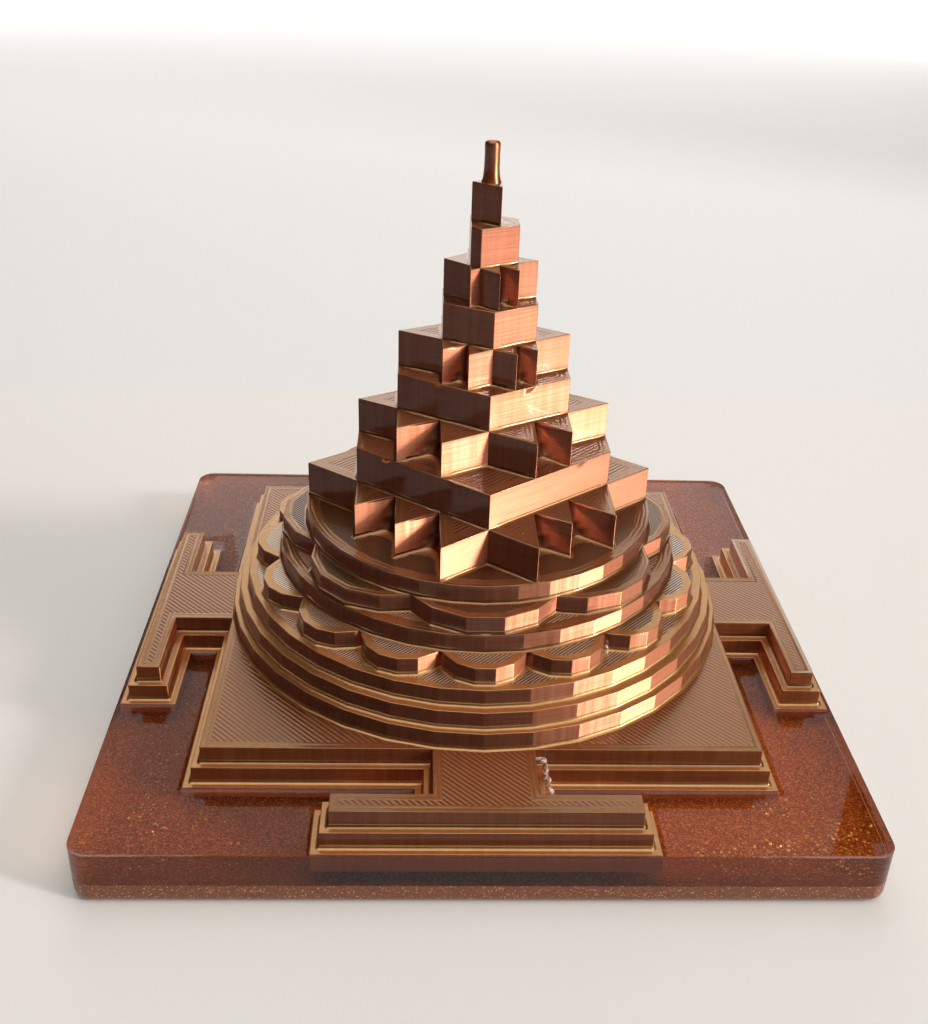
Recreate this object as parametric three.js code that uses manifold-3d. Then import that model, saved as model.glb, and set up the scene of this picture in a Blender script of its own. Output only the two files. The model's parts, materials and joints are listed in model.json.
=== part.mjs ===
// Meru shri yantra: the shri yantra drawing raised as a stepped tower, its foot cast into a resin slab.
// Millimetres, +Z up. The slab rests on z = 0 and the tower's axis is x = 0, y = 0.
// The yantra is seen from the side: the top of the drawing points to +X and the photo is taken from -Y.
import * as THREE from 'three';
import { mergeVertices } from 'three/addons/utils/BufferGeometryUtils.js';
import Module from 'manifold-3d';

// Resin slab, cast in two pours. It stands out past the gates by a narrow rim.
const GLITTER_POUR = 2.3;
const CLEAR_POUR = 3.3;
const SLAB_RIM = 0.3;
const SLAB_CORNER_RADIUS = 2;
const SLAB_BOTTOM_ROUND = 1;
const ROUND_STEPS = 8;

// The foot of the tower is cast into the upper pour, and only its top stands proud of the resin.
const FOOT_DEPTH = 1.72;
const FOOT_PROUD = 0.18;

// Heights of the tiers above the foot.
const BHUPURA_STEP = 1.75;
const RING_STEP = 1.87;
const TOWER_STEP = 3.8;

// Bhupura: a square with a passage out of each side and a cross bar at its end.
// It comes three times, each one smaller all round by the same inset.
const BHUPURA_TIERS = 3;
const BHUPURA_INSET = 0.82;
const SQUARE_HALF = 28.6;
const PASSAGE_HALF = 6.55;
const PASSAGE_LENGTH = 2.9;
const BAR_HALF = 15.85;
const BAR_WIDTH = 5.7;

// Rings: the lowest touches the sides of the top square, and each next one leaves a ledge.
const CIRCLE_SIDES = 36;
const RING_LEDGES = [0, 0.8, 1.05];

// Lotus plates: each leaves a ledge at the petal tips, and the next disc meets the valleys.
// Petals are arcs of a coarse circle.
const OUTER_PETALS = 16;
const OUTER_PETAL_LEDGE = 0.85;
const OUTER_PETAL_LENGTH = 2.75;
const INNER_PETALS = 8;
const INNER_PETAL_LEDGE = 0.2;
const INNER_PETAL_LENGTH = 2.7;
const PETAL_FACETS = 14;

// Shri yantra: the nine cross lines, from the head of the drawing down, in 48ths of its circle.
// The old drawing rule puts them at 6, 12, 17, 20, 23, 27, 30, 36 and 42.
const STAR_LEDGE = 0.2;
const DRAWING_PARTS = 48;
const LINES = [6.6, 12.6, 17.45, 20.2, 22.7, 26.4, 29.7, 35.5, 40.9];

// Bindu: the point on top, a domed pin.
const BINDU_RADIUS = 0.77;
const BINDU_HEIGHT = 4;
const BINDU_DOME = 0.35;
const BINDU_SIDES = 32;
const DOME_STEPS = 6;

const RESIN_GLITTER = new THREE.MeshStandardMaterial({ color: 0x8c4a2e, roughness: 0.25, metalness: 0.3 });
const RESIN_CLEAR = new THREE.MeshStandardMaterial({ color: 0x6e4030, roughness: 0.1, metalness: 0 });
const PRINT = new THREE.MeshStandardMaterial({ color: 0x96522a, roughness: 0.3, metalness: 0.25 });
const PRINT_LIGHT = new THREE.MeshStandardMaterial({ color: 0xa8683a, roughness: 0.3, metalness: 0.25 });

// Sizes that follow from the ones above.
const barInner = SQUARE_HALF + PASSAGE_LENGTH;
const barOuter = barInner + BAR_WIDTH;
const slabHalf = barOuter + SLAB_RIM;
const slabTop = GLITTER_POUR + CLEAR_POUR;
const footStep = FOOT_DEPTH + FOOT_PROUD;
const topSquareHalf = SQUARE_HALF - (BHUPURA_TIERS - 1) * BHUPURA_INSET;
let ringRadius = topSquareHalf / Math.cos(Math.PI / CIRCLE_SIDES);
const ringRadii = RING_LEDGES.map((ledge) => {
  ringRadius -= ledge;
  return ringRadius;
});
const outerPetalTip = ringRadius - OUTER_PETAL_LEDGE;
const outerDiscRadius = outerPetalTip - OUTER_PETAL_LENGTH;
const innerPetalTip = outerDiscRadius - INNER_PETAL_LEDGE;
const innerDiscRadius = innerPetalTip - INNER_PETAL_LENGTH;
const starRadius = innerDiscRadius - STAR_LEDGE;

const group = new THREE.Group();
group.name = 'meru_shri_yantra';

function addMesh(name, geometry, material) {
  const mesh = new THREE.Mesh(geometry, material);
  mesh.name = name;
  group.add(mesh);
}

// A flat plate of any outline, standing on height z.
function plate(outline, z, height) {
  const shape = new THREE.Shape(outline.map(([x, y]) => new THREE.Vector2(x, y)));
  const geometry = new THREE.ExtrudeGeometry(shape, { depth: height, bevelEnabled: false });
  geometry.translate(0, 0, z);
  return geometry;
}

// A closed body through several outlines with equally many points, from the bottom up.
function loft(sections) {
  const count = sections[0].outline.length;
  const positions = sections.flatMap(({ outline, z }) => outline.flatMap(([x, y]) => [x, y, z]));
  const index = [];
  for (let level = 0; level + 1 < sections.length; level += 1) {
    for (let i = 0; i < count; i += 1) {
      const a = level * count + i;
      const b = level * count + ((i + 1) % count);
      index.push(a, b, b + count, a, b + count, a + count);
    }
  }
  const flat = sections[0].outline.map(([x, y]) => new THREE.Vector2(x, y));
  const last = (sections.length - 1) * count;
  for (const [a, b, c] of THREE.ShapeUtils.triangulateShape(flat, [])) {
    index.push(a, c, b);
    index.push(last + a, last + b, last + c);
  }
  const geometry = new THREE.BufferGeometry();
  geometry.setAttribute('position', new THREE.Float32BufferAttribute(positions, 3));
  geometry.setIndex(index);
  geometry.computeVertexNormals();
  return geometry;
}

// A square with rounded corners, counter-clockwise.
function roundedSquare(half, radius) {
  const points = [];
  for (let corner = 0; corner < 4; corner += 1) {
    const middle = (corner * Math.PI) / 2 + Math.PI / 4;
    const cx = Math.sign(Math.cos(middle)) * (half - radius);
    const cy = Math.sign(Math.sin(middle)) * (half - radius);
    for (let i = 0; i <= ROUND_STEPS; i += 1) {
      const angle = middle - Math.PI / 4 + (i / ROUND_STEPS) * (Math.PI / 2);
      points.push([cx + radius * Math.cos(angle), cy + radius * Math.sin(angle)]);
    }
  }
  return points;
}

// A circle as a polygon with a corner on each axis.
function polygon(radius, sides) {
  return Array.from({ length: sides }, (_, i) => {
    const angle = (i / sides) * Math.PI * 2;
    return [radius * Math.cos(angle), radius * Math.sin(angle)];
  });
}

// The square with its four gates: a passage out of each side and a cross bar at its end.
function bhupura(tier) {
  const inset = tier * BHUPURA_INSET;
  const square = SQUARE_HALF - inset;
  const passage = PASSAGE_HALF - inset;
  const inner = barInner + inset;
  const outer = barOuter - inset;
  const bar = BAR_HALF - inset;
  const quarter = [
    [square, -square], [square, -passage], [inner, -passage], [inner, -bar], [outer, -bar],
    [outer, bar], [inner, bar], [inner, passage], [square, passage],
  ];
  const turns = [[1, 0], [0, 1], [-1, 0], [0, -1]];
  return turns.flatMap(([c, s]) => quarter.map(([x, y]) => [c * x - s * y, s * x + c * y]));
}

// A lotus plate: one arc per petal from valley to valley, the first petal pointing along +X.
function lotus(petals, tipRadius, valleyRadius) {
  const halfStep = Math.PI / petals;
  const halfChord = valleyRadius * Math.sin(halfStep);
  const rise = tipRadius - valleyRadius * Math.cos(halfStep);
  const arcRadius = (halfChord ** 2 + rise ** 2) / (2 * rise);
  const centre = tipRadius - arcRadius;
  const end = Math.atan2(halfChord, valleyRadius * Math.cos(halfStep) - centre);
  const facet = (Math.PI * 2) / PETAL_FACETS;
  const angles = [];
  for (let angle = facet / 2; angle < end; angle += facet) {
    angles.push(angle);
    angles.unshift(-angle);
  }
  const petal = angles.map((angle) => [centre + arcRadius * Math.cos(angle), arcRadius * Math.sin(angle)]);
  petal.unshift([valleyRadius * Math.cos(halfStep), -halfChord]);
  const points = [];
  for (let i = 0; i < petals; i += 1) {
    const c = Math.cos(i * halfStep * 2);
    const s = Math.sin(i * halfStep * 2);
    points.push(...petal.map(([x, y]) => [c * x - s * y, s * x + c * y]));
  }
  return points;
}

// The sloping side of a triangle: half width at x, from its base line to nothing at its apex.
function side(base, halfWidth, apex) {
  return (x) => (halfWidth * (x - apex)) / (base - apex);
}

// The side that ends on a base line and passes through a point already found.
function sideThrough(base, apex, x, halfWidth) {
  return side(base, (halfWidth * (base - apex)) / (x - apex), apex);
}

// Where two sides cross.
function cross(f, g) {
  const x = (g(0) - f(0)) / (f(1) - f(0) - (g(1) - g(0)));
  return [x, f(x)];
}

// The nine triangles. "down" points to the foot of the drawing (-X) and "up" to its head (+X).
// R is the circle's radius and L[n] the place on X of cross line n.
const R = starRadius;
const L = [null, ...LINES.map((line) => R * (1 - (2 * line) / DRAWING_PARTS))];
const down3 = side(L[3], Math.sqrt(R * R - L[3] * L[3]), -R);
const up7 = side(L[7], Math.sqrt(R * R - L[7] * L[7]), R);
const down2 = sideThrough(L[2], L[9], L[3], up7(L[3]));
const down1 = sideThrough(L[1], L[6], L[2], up7(L[2]));
const up8 = sideThrough(L[8], L[1], L[7], down3(L[7]));
const up9 = sideThrough(L[9], L[3], L[8], down3(L[8]));
const down4 = sideThrough(L[4], L[8], L[4], up8(L[4]));
const up6 = sideThrough(L[6], L[2], L[6], down2(L[6]));
const down5 = sideThrough(L[5], L[7], L[5], up6(L[5]));

// A body symmetric about the X axis, from the points of its +Y half listed from +X to -X.
function mirrored(half) {
  const other = half.filter(([, y]) => y > 0).reverse();
  return [...half, ...other.map(([x, y]) => [x, -y])];
}

// A point where a side meets a cross line, by the line's number.
function on(line, f) {
  return [L[line], f(L[line])];
}

// Outlines of the tower. Each star has its points on the platform below and its notches on the one above.
const star14 = mirrored([
  [R, 0], on(1, up7), on(1, down1), on(2, down1), on(2, down2), on(3, down2), on(3, down3), cross(up7, down3),
  on(7, up7), on(7, up8), on(8, up8), on(8, up9), on(9, up9), on(9, down3), [-R, 0],
]);
const platform1 = mirrored([on(1, up7), cross(up7, down3), on(9, down3)]);
const star10Outer = mirrored([
  [L[1], 0], on(2, up8), on(2, up7), on(3, down1), on(3, up7), cross(up8, down2),
  on(7, down3), on(7, up9), on(8, down3), on(8, down2), [L[9], 0],
]);
const platform2 = mirrored([on(2, up8), cross(up8, down2), on(8, down2)]);
const star10Inner = mirrored([
  [L[2], 0], on(3, up6), on(3, up8), on(4, down1), on(4, down4), cross(up6, down4),
  on(6, up6), on(6, up9), on(7, down2), on(7, down4), [L[8], 0],
]);
const platform3 = mirrored([on(3, up6), cross(up6, down4), on(7, down4)]);
const star8 = mirrored([
  [L[3], 0], on(4, up9), on(4, up6), on(5, down1), on(5, down5), cross(up9, down5),
  on(6, down4), on(6, down5), [L[7], 0],
]);
const platform4 = mirrored([on(4, up9), cross(up9, down5), on(6, down5)]);
const centralTriangle = mirrored([on(5, down1), [L[6], 0]]);

// Slab: the lower pour has its bottom edge rounded, the upper pour a pocket that the foot fills.
const lowerSections = [];
for (let i = 0; i <= ROUND_STEPS; i += 1) {
  const angle = (i / ROUND_STEPS) * (Math.PI / 2);
  const inset = SLAB_BOTTOM_ROUND * (1 - Math.sin(angle));
  const outline = roundedSquare(slabHalf - inset, SLAB_CORNER_RADIUS - inset);
  lowerSections.push({ outline, z: SLAB_BOTTOM_ROUND * (1 - Math.cos(angle)) });
}
const slabOutline = roundedSquare(slabHalf, SLAB_CORNER_RADIUS);
lowerSections.push({ outline: slabOutline, z: GLITTER_POUR });
addMesh('resin_glitter_pour', loft(lowerSections), RESIN_GLITTER);

const wasm = await Module();
wasm.setup();

function toSolid(geometry) {
  const bare = new THREE.BufferGeometry();
  bare.setAttribute('position', geometry.getAttribute('position').clone());
  if (geometry.index) {
    bare.setIndex(geometry.index.clone());
  }
  const merged = mergeVertices(bare, 1e-5);
  const mesh = new wasm.Mesh({
    numProp: 3,
    vertProperties: new Float32Array(merged.getAttribute('position').array),
    triVerts: new Uint32Array(merged.index.array),
  });
  return new wasm.Manifold(mesh);
}

function toGeometry(solid) {
  const mesh = solid.getMesh();
  const indexed = new THREE.BufferGeometry();
  indexed.setAttribute('position', new THREE.BufferAttribute(mesh.vertProperties, 3));
  indexed.setIndex(new THREE.BufferAttribute(mesh.triVerts, 1));
  const geometry = indexed.toNonIndexed();
  geometry.computeVertexNormals();
  return geometry;
}

const footBottom = slabTop - FOOT_DEPTH;
const upperPour = toSolid(plate(slabOutline, GLITTER_POUR, CLEAR_POUR));
const pocket = toSolid(plate(bhupura(0), footBottom, footStep));
addMesh('resin_clear_pour', toGeometry(upperPour.subtract(pocket)), RESIN_CLEAR);

// Everything above stands on the tier before it.
let level = footBottom;
function stack(name, outline, height, material) {
  addMesh(name, plate(outline, level, height), material);
  level += height;
}

for (let tier = 0; tier < BHUPURA_TIERS; tier += 1) {
  const height = tier === 0 ? footStep : BHUPURA_STEP;
  stack(`bhupura_step_${tier + 1}`, bhupura(tier), height, PRINT);
}
ringRadii.forEach((radius, i) => {
  stack(`trivritta_ring_${i + 1}`, polygon(radius, CIRCLE_SIDES), RING_STEP, PRINT);
});
stack('lotus_16_petals', lotus(OUTER_PETALS, outerPetalTip, outerDiscRadius), RING_STEP, PRINT_LIGHT);
stack('disc_under_8_petals', polygon(outerDiscRadius, CIRCLE_SIDES), RING_STEP, PRINT);
stack('lotus_8_petals', lotus(INNER_PETALS, innerPetalTip, innerDiscRadius), RING_STEP, PRINT_LIGHT);
stack('disc_under_star', polygon(innerDiscRadius, CIRCLE_SIDES), RING_STEP, PRINT);
stack('star_14_points', star14, TOWER_STEP, PRINT_LIGHT);
stack('platform_1', platform1, TOWER_STEP, PRINT);
stack('star_10_points_outer', star10Outer, TOWER_STEP, PRINT_LIGHT);
stack('platform_2', platform2, TOWER_STEP, PRINT);
stack('star_10_points_inner', star10Inner, TOWER_STEP, PRINT_LIGHT);
stack('platform_3', platform3, TOWER_STEP, PRINT);
stack('star_8_points', star8, TOWER_STEP, PRINT_LIGHT);
stack('platform_4', platform4, TOWER_STEP, PRINT);
stack('central_triangle', centralTriangle, TOWER_STEP, PRINT_LIGHT);

const binduProfile = [new THREE.Vector2(0, 0), new THREE.Vector2(BINDU_RADIUS, 0)];
for (let i = 0; i < DOME_STEPS; i += 1) {
  const angle = (i / DOME_STEPS) * (Math.PI / 2);
  const radius = BINDU_RADIUS * Math.cos(angle);
  binduProfile.push(new THREE.Vector2(radius, BINDU_HEIGHT - BINDU_DOME * (1 - Math.sin(angle))));
}
binduProfile.push(new THREE.Vector2(0, BINDU_HEIGHT));
const bindu = new THREE.LatheGeometry(binduProfile, BINDU_SIDES);
bindu.rotateX(Math.PI / 2);
bindu.translate(0, 0, level);
addMesh('bindu', bindu, PRINT_LIGHT);

export default group;
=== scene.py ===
# %% [markdown]
# # Meru shri yantra
# The real object is a shri yantra drawing raised as a stepped tower. It is 3-D printed in a silk
# copper filament, coated with clear epoxy, and its foot is cast into a resin slab of two pours.
# The CAD model gives every tier's outline and height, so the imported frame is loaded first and
# each visible piece is made from the outline of the CAD node that it stands for.

# %% Load the frame
import json, math, random
import bmesh, bpy
from mathutils import Euler, Matrix, Vector, noise

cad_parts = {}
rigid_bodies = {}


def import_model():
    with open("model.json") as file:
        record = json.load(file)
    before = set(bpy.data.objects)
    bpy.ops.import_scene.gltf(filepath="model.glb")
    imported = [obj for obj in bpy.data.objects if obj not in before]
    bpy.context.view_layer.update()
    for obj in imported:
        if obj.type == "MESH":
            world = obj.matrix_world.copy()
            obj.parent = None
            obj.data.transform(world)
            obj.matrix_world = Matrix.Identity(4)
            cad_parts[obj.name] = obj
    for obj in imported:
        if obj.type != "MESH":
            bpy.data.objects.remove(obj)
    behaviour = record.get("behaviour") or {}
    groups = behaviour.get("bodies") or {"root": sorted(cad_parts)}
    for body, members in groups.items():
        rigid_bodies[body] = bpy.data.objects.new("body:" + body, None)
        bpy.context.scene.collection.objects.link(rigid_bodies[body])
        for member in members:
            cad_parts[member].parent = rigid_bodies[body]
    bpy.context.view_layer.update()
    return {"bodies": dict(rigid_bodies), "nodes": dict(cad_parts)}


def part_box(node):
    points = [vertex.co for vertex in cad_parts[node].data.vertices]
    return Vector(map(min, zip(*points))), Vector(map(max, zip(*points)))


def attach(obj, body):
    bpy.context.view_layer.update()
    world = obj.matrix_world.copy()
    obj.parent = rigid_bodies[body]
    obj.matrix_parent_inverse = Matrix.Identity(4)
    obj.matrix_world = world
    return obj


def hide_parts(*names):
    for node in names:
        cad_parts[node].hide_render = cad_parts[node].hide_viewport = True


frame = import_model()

MM = 0.001
BODY = next(iter(frame["bodies"]))
print("nodes:", len(frame["nodes"]), "body:", BODY)

# %% [markdown]
# ## Camera
# The camera was solved from the slab's corners and the tiers' edges in the photograph. Its view
# is kept as a focal length on a 36 mm tall sensor, a place in millimetres and three turns.

# %% Camera
camera_data = bpy.data.cameras.new("photo_camera")
camera = bpy.data.objects.new("photo_camera", camera_data)
bpy.context.scene.collection.objects.link(camera)
camera_data.sensor_fit = "VERTICAL"
camera_data.sensor_height = 36
camera_data.lens = 41.862
camera_data.shift_x = -0.0018
camera_data.shift_y = 0.0056
camera_data.clip_start = 0.005
camera_data.clip_end = 50
camera.location = Vector((-6.674, -115.738, 83.314)) * MM
camera.rotation_euler = [math.radians(a) for a in (61.2035, -1.8365, -1.6656)]
bpy.context.scene.camera = camera
print("camera at", [round(v / MM, 1) for v in camera.location], "mm")

# %% [markdown]
# ## Small helpers for shader nodes
# Every material here is built from nodes. The first helper adds a node: each input is given a plain
# value, or another node's output that is then joined to it. The others make the kinds of node that
# come up most often, and return what these put out.

# %% Node helpers
def add_node(tree, kind, values=(), **settings):
    """A shader node with its properties set, and its inputs set or joined."""
    node = tree.nodes.new(kind)
    for name, value in settings.items():
        setattr(node, name, value)
    for name, value in dict(values).items():
        if isinstance(value, bpy.types.NodeSocket):
            tree.links.new(value, node.inputs[name])
        else:
            node.inputs[name].default_value = value
    return node


def object_place(tree):
    """Where a point lies on the object, in metres."""
    return add_node(tree, "ShaderNodeTexCoord").outputs["Object"]


def maths(tree, operation, *numbers, **settings):
    node = add_node(tree, "ShaderNodeMath", enumerate(numbers), operation=operation, **settings)
    return node.outputs["Value"]


def vector_maths(tree, operation, first, second=None):
    """A Vector Math node; to scale, the second input is a number."""
    values = {0: first}
    if second is not None:
        values["Scale" if operation == "SCALE" else 1] = second
    node = add_node(tree, "ShaderNodeVectorMath", values, operation=operation)
    return node.outputs["Value" if operation == "DOT_PRODUCT" else "Vector"]


def blend_colours(tree, share, first, second):
    """A Mix node, which has sockets for several kinds of value: 6, 7 and 2 are the colours."""
    node = add_node(tree, "ShaderNodeMix", {0: share, 6: first, 7: second}, data_type="RGBA")
    return node.outputs[2]


def colour_ramp(tree, share, stops):
    """A colour ramp with two or more stops of (place, colour)."""
    node = add_node(tree, "ShaderNodeValToRGB", {"Fac": share})
    elements = node.color_ramp.elements
    while len(elements) < len(stops):
        elements.new(1.0)
    for element, (place, colour) in zip(elements, stops):
        element.position = place
        element.color = (*colour, 1.0)
    return node.outputs["Color"]


print("node helpers: add_node, object_place, maths, vector_maths, blend_colours, colour_ramp")

# %% [markdown]
# A material starts with an empty node tree. Most have one Principled shader, which goes straight
# to the material's output.

# %% Material helpers
def new_material(name):
    """A material with an empty node tree."""
    material = bpy.data.materials.new(name)
    material.use_nodes = True
    material.node_tree.nodes.clear()
    return material, material.node_tree


def principled(tree, values):
    """The Principled shader of a material, joined to its output."""
    shader = add_node(tree, "ShaderNodeBsdfPrincipled", values)
    add_node(tree, "ShaderNodeOutputMaterial", {"Surface": shader.outputs["BSDF"]})


def speckled(name, scale, stops, values):
    """A material whose colour changes from place to place, as a noise runs through a ramp."""
    material, tree = new_material(name)
    speckle = add_node(tree, "ShaderNodeTexNoise", {"Vector": object_place(tree), "Scale": scale})
    principled(tree, {"Base Color": colour_ramp(tree, speckle.outputs["Fac"], stops), **values})
    return material


print("material helpers: new_material, principled, speckled")

# %% [markdown]
# ## Helpers for finished pieces
# Each piece is shaped as a bmesh and then written to a mesh that an object shows. The object stays
# at the origin, and its place is in the mesh, as it is in the CAD nodes.

# %% Finished pieces
def show(shape, name, *materials):
    """Writes a bmesh to a new object in the scene and gives it its materials."""
    mesh = bpy.data.meshes.new(name)
    shape.to_mesh(mesh)
    shape.free()
    for material in materials:
        mesh.materials.append(material)
    piece = bpy.data.objects.new(name, mesh)
    bpy.context.scene.collection.objects.link(piece)
    return piece


def smooth(shape):
    for f in shape.faces:
        f.smooth = True


print("helpers: show, smooth")

# %% [markdown]
# ## Filament streaks, a shared node group
# Silk filament is drawn out through the nozzle and full of pearl flakes. The flakes lie along the
# layers and lean a little, so a wall shines as if it faced slightly upwards, in soft vertical
# streaks. The group leans the normal of upright faces and gives the streaks and the printed layers
# as plain values. Each material decides how strongly it shows them.

# %% Node group: filament streaks
FLOAT, VECTOR = "NodeSocketFloat", "NodeSocketVector"


def open_group(name, inputs, outputs):
    """A node group with its sockets made; returns it with what its input node puts out."""
    group = bpy.data.node_groups.new(name, "ShaderNodeTree")
    for title, value in inputs.items():
        socket = group.interface.new_socket(title, in_out="INPUT", socket_type=FLOAT)
        socket.default_value = value
    for title, kind in outputs.items():
        group.interface.new_socket(title, in_out="OUTPUT", socket_type=kind)
    return group, add_node(group, "NodeGroupInput").outputs


streaks, given = open_group(
    "filament_streaks", {"Lean": 0.5, "Wobble": 0.15, "Streak Scale": 1800},
    {"Streak": FLOAT, "Layer": FLOAT, "Leaning Normal": VECTOR})
place = object_place(streaks)
tall = add_node(streaks, "ShaderNodeMapping", {"Vector": place, "Scale": (1, 1, 0.04)})
streak = add_node(streaks, "ShaderNodeTexNoise", {
    "Vector": tall.outputs["Vector"], "Scale": given["Streak Scale"],
    "Detail": 3, "Roughness": 0.6}).outputs["Fac"]
flat = add_node(streaks, "ShaderNodeMapping", {"Vector": place, "Scale": (0.02, 0.02, 1)})
layer = add_node(streaks, "ShaderNodeTexNoise", {
    "Vector": flat.outputs["Vector"], "Scale": 6000, "Detail": 1}).outputs["Fac"]
facing = add_node(streaks, "ShaderNodeNewGeometry").outputs["Normal"]
axes = add_node(streaks, "ShaderNodeSeparateXYZ", {"Vector": facing})
level_part = maths(streaks, "ABSOLUTE", axes.outputs["Z"])
upright_part = maths(streaks, "SUBTRACT", 1.0, level_part, use_clamp=True)
lean = maths(streaks, "MULTIPLY", upright_part, given["Lean"])
upwards = vector_maths(streaks, "SCALE", (0, 0, 1), lean)
wobble = maths(streaks, "MULTIPLY", maths(streaks, "SUBTRACT", streak, 0.5), given["Wobble"])
along = vector_maths(streaks, "CROSS_PRODUCT", (0, 0, 1), facing)
sideways = vector_maths(streaks, "SCALE", along, wobble)
raised = vector_maths(streaks, "ADD", facing, upwards)
turned = vector_maths(streaks, "ADD", raised, sideways)
add_node(streaks, "NodeGroupOutput", {
    "Streak": streak, "Layer": layer,
    "Leaning Normal": vector_maths(streaks, "NORMALIZE", turned)})
print("group made:", streaks.name)

# %% [markdown]
# ## Hatch lines, a shared node group
# A printed top is filled with straight lines of filament at 45 degrees. The mesh has their ridges,
# but the epoxy on top has partly levelled them. Under it each line is still a round bead with
# steep sides, so this group tilts the normal of the filament a little more, in step with the mesh.

# %% Node group: hatch lines
BROAD_PITCH = 0.458  # distance between hatch lines on the bhupura and the stars, mm
FINE_PITCH = 0.30    # distance between them on the petals and the ledges round them, mm

hatch_group, given = open_group(
    "hatch_lines", {"Slope": 0.5, "Across X": 0.7071, "Across Y": 0.7071, "Lines per Metre": 1000},
    {"Ridge": FLOAT, "Hatch Normal": VECTOR})
across = add_node(hatch_group, "ShaderNodeCombineXYZ", {
    "X": given["Across X"], "Y": given["Across Y"]}).outputs["Vector"]
place = vector_maths(hatch_group, "DOT_PRODUCT", object_place(hatch_group), across)
turns = maths(hatch_group, "MULTIPLY", place, given["Lines per Metre"])
phase = maths(hatch_group, "MULTIPLY", turns, 2 * math.pi)
rise = maths(hatch_group, "MULTIPLY", maths(hatch_group, "COSINE", phase), given["Slope"])
tilt = vector_maths(hatch_group, "SCALE", across, rise)
facing = add_node(hatch_group, "ShaderNodeNewGeometry").outputs["Normal"]
tilted = vector_maths(hatch_group, "SUBTRACT", facing, tilt)
add_node(hatch_group, "NodeGroupOutput", {
    "Ridge": maths(hatch_group, "SINE", phase),
    "Hatch Normal": vector_maths(hatch_group, "NORMALIZE", tilted)})
print("group made:", hatch_group.name)

# %% [markdown]
# ## Silk copper under epoxy
# The filament is a plastic full of pearl flakes, so its body is nearly a rough metal, and the
# clear epoxy over it is the coat. Walls lean their shine upwards through the first group. Tops
# take the hatch from the second, and are painted lighter on each crest and darker in each groove,
# a painted highlight and painted shade of the beads. The films of epoxy in the notches are painted
# darker, partly for the depth of the epoxy and partly as a painted shade in the notches; the mesh
# says where they are in an attribute called film. On the petals and the ledge under them the lines
# are painted almost white between dark grooves, a painted highlight of their glints. The walls of
# the square and the pin on top have finishes of their own: the first catch more of the plain
# daylight, the second is darker and glossier.

# %% Material: silk print
STREAK_SHARE, LAYER_SHARE = 0.6, 0.4  # how much each of them changes the colour of a wall


def silk_print(name, dark, light, metallic, roughness, lean=0.0, wobble=0.1,
               hatch=None, pitch=BROAD_PITCH, slope=0.3, film=None, coat=1.0):
    """Silk filament under epoxy, with streaks, or with hatch lines at an angle in degrees."""
    material, tree = new_material(name)
    group = add_node(tree, "ShaderNodeGroup", {"Lean": lean, "Wobble": wobble}, node_tree=streaks)
    if hatch is None:
        part = maths(tree, "MULTIPLY", group.outputs["Streak"], STREAK_SHARE)
        both = maths(tree, "MULTIPLY_ADD", group.outputs["Layer"], LAYER_SHARE, part)
        crest = add_node(tree, "ShaderNodeMapRange", {"Value": both, "From Min": 0.3, "From Max": 0.7})
        facing = group.outputs["Leaning Normal"]
    else:
        turn = math.radians(hatch)
        lines = add_node(tree, "ShaderNodeGroup", {
            "Across X": -math.sin(turn), "Across Y": math.cos(turn),
            "Lines per Metre": 1000 / pitch, "Slope": slope}, node_tree=hatch_group)
        # a hatched top is painted lighter on each crest and darker in each groove: painted highlight and
        # painted shade of the beads
        crest = add_node(tree, "ShaderNodeMapRange", {
            "Value": lines.outputs["Ridge"], "From Min": -1.0, "From Max": 1.0})
        facing = lines.outputs["Hatch Normal"]
    colour = blend_colours(tree, crest.outputs["Result"], (*dark, 1), (*light, 1))
    # the films in the notches are painted darker, partly for the depth of the epoxy and partly as painted
    # shade
    if film is not None:
        thick = add_node(tree, "ShaderNodeAttribute", attribute_name="film")
        colour = blend_colours(tree, thick.outputs["Fac"], colour, (*film, 1))
    bump = add_node(tree, "ShaderNodeBump", {
        "Strength": 0.25, "Distance": 0.02 * MM, "Height": group.outputs["Layer"], "Normal": facing})
    principled(tree, {
        "Base Color": colour, "Metallic": metallic, "Roughness": roughness, "Coat Weight": coat,
        "Coat Roughness": 0.08, "Coat IOR": 1.5, "Normal": bump.outputs["Normal"]})
    return material


print("a wall's colour takes", STREAK_SHARE, "of the streaks and", LAYER_SHARE, "of the layers")

# %% [markdown]
# The finishes differ in how dark the filament lies between its lines, how much metal shows and how
# thick the coat is. Each is named for the place where the print shows it.

# %% Finishes of the print
# the film colour darkens the notches: partly the depth of the epoxy, partly a painted shade
walls = silk_print("print_walls", (0.46, 0.145, 0.060), (0.60, 0.235, 0.145), 0.93, 0.34,
                   lean=0.7, wobble=0.10, film=(0.12, 0.035, 0.013), coat=0.5)
square_walls = silk_print("print_walls_of_the_square", (0.42, 0.105, 0.028), (0.58, 0.18, 0.07),
                          0.80, 0.34, lean=0.7, wobble=0.10, coat=0.6)
pin_walls = silk_print("print_pin", (0.40, 0.10, 0.028), (0.55, 0.17, 0.06), 0.75, 0.28,
                       lean=0.3, wobble=0.05)
loops_top = silk_print("print_loops", (0.34, 0.145, 0.045), (0.46, 0.225, 0.085), 0.9, 0.30)
# the ledges take a lighter, more golden copy of the loops' finish: painted sheen
sheen_ledges = silk_print("print_sheen_ledges", (0.60, 0.295, 0.095), (0.74, 0.40, 0.155), 0.85, 0.34)
# each pair of tones is the groove's and the crest's; the groove is painted darker and the crest lighter,
# a painted shade and painted highlight of the beads
PLAIN = ((0.28, 0.10, 0.03), (0.44, 0.21, 0.09))
# the next tones are a darker copy for tops that lie under the tier above: painted shade
SHADED_TONES = ((0.08, 0.028, 0.008), (0.26, 0.13, 0.045))
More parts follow.
